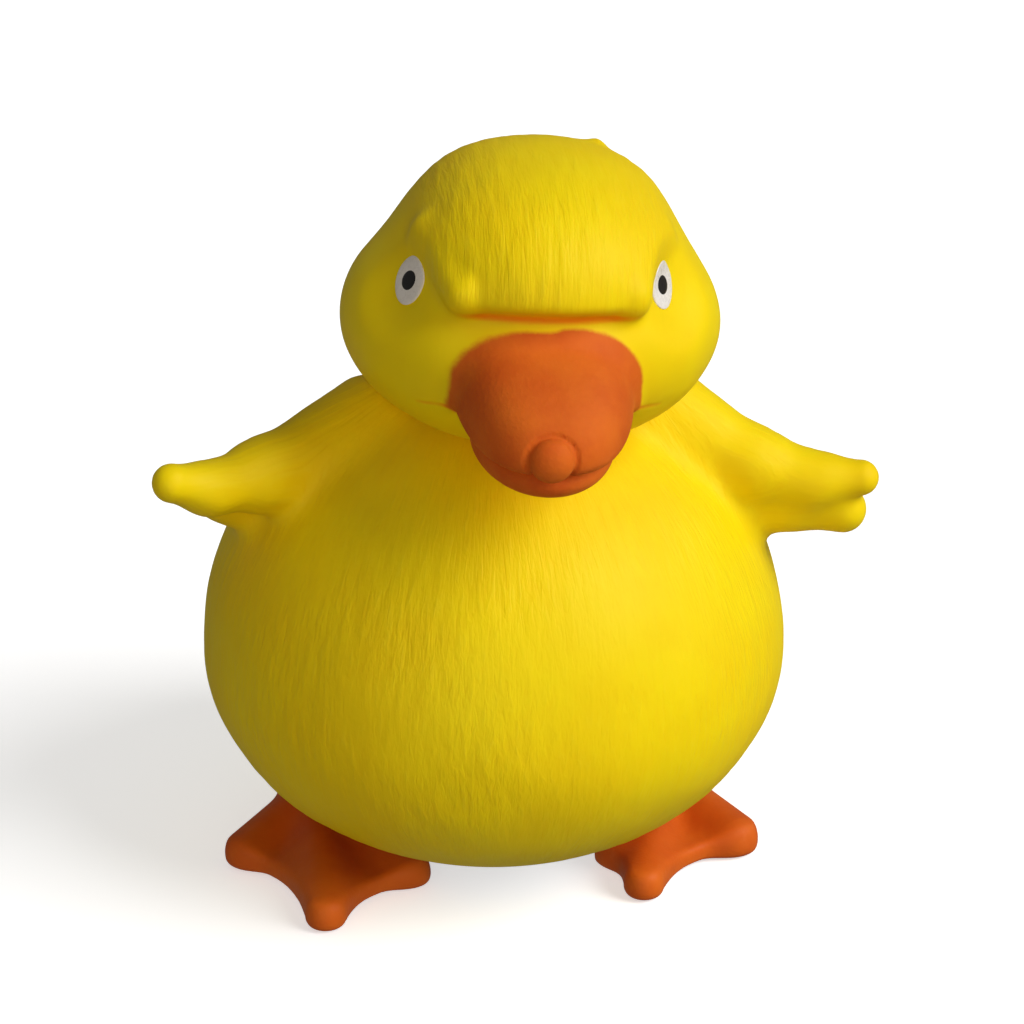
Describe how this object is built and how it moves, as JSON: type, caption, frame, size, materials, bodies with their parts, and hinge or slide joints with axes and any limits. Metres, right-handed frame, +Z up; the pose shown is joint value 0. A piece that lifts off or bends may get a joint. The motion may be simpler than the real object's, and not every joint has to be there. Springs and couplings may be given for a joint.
{
  "type": "floating chlorine dispenser",
  "caption": "Duckling-shaped floating pool chlorine dispenser: hollow vinyl float with webbed feet, a bottom-loading tablet chamber, threaded lock ring, keyed grille lid and flow dial.",
  "frame": {"origin": "middle of the bounding box seen from above, on the plane of the soles", "axes": "+Z up; the duckling faces -Y, and its own left side is +X"},
  "size_m": [0.2462, 0.2386, 0.2667],
  "materials": {
    "yellow_vinyl": "satin moulded vinyl with fine moulded feather lines; the bill is sprayed orange on the same skin",
    "orange_vinyl": "satin moulded vinyl",
    "eye_white": "smooth",
    "pupil_black": "smooth",
    "white_plastic": "fine moulded grain",
    "grey_plastic": "fine moulded grain",
    "rubber": "matt",
    "silicone": "milky, satin",
    "steel": "stainless, fine turned marks"
  },
  "bodies": {
    "float": {"body_shell": "yellow_vinyl", "head_shell": "yellow_vinyl", "eye_left": "eye_white", "pupil_left": "pupil_black", "eye_right": "eye_white", "pupil_right": "pupil_black", "foot_left": "orange_vinyl", "foot_right": "orange_vinyl", "tablet_chamber": "white_plastic", "flange_gasket": "rubber", "clamp_ring": "grey_plastic", "ballast_ring": "steel", "flange_screw_1": "steel", "flange_screw_2": "steel", "flange_screw_3": "steel", "flange_screw_4": "steel", "flange_screw_5": "steel", "flange_screw_6": "steel", "vent_tube": "silicone", "vent_grommet": "rubber"},
    "grille": {"lid_grille": "grey_plastic", "dial_screw": "steel", "dial_washer": "steel"},
    "lock_ring": {"lock_ring": "white_plastic"},
    "flow_dial": {"flow_dial": "white_plastic"}
  },
  "joints": [
    {"name": "lid_travel", "type": "slide", "parent": "float", "child": "grille", "axis": [0, 0, -1], "range_m": [0, 0.012]},
    {"name": "ring_turn", "type": "hinge", "parent": "grille", "child": "lock_ring", "pos_m": [-0.00475, 0.0055, 0.018], "axis": [0, 0, -1], "range_deg": [0, 1080]},
    {"name": "dial_turn", "type": "hinge", "parent": "grille", "child": "flow_dial", "pos_m": [-0.00475, 0.0055, 0.0205], "axis": [0, 0, 1], "range_deg": [0, 30]}
  ],
  "couplings": [
    {"joint": "lid_travel", "follows": "ring_turn", "m_per_rad": 0.00063662}
  ]
}
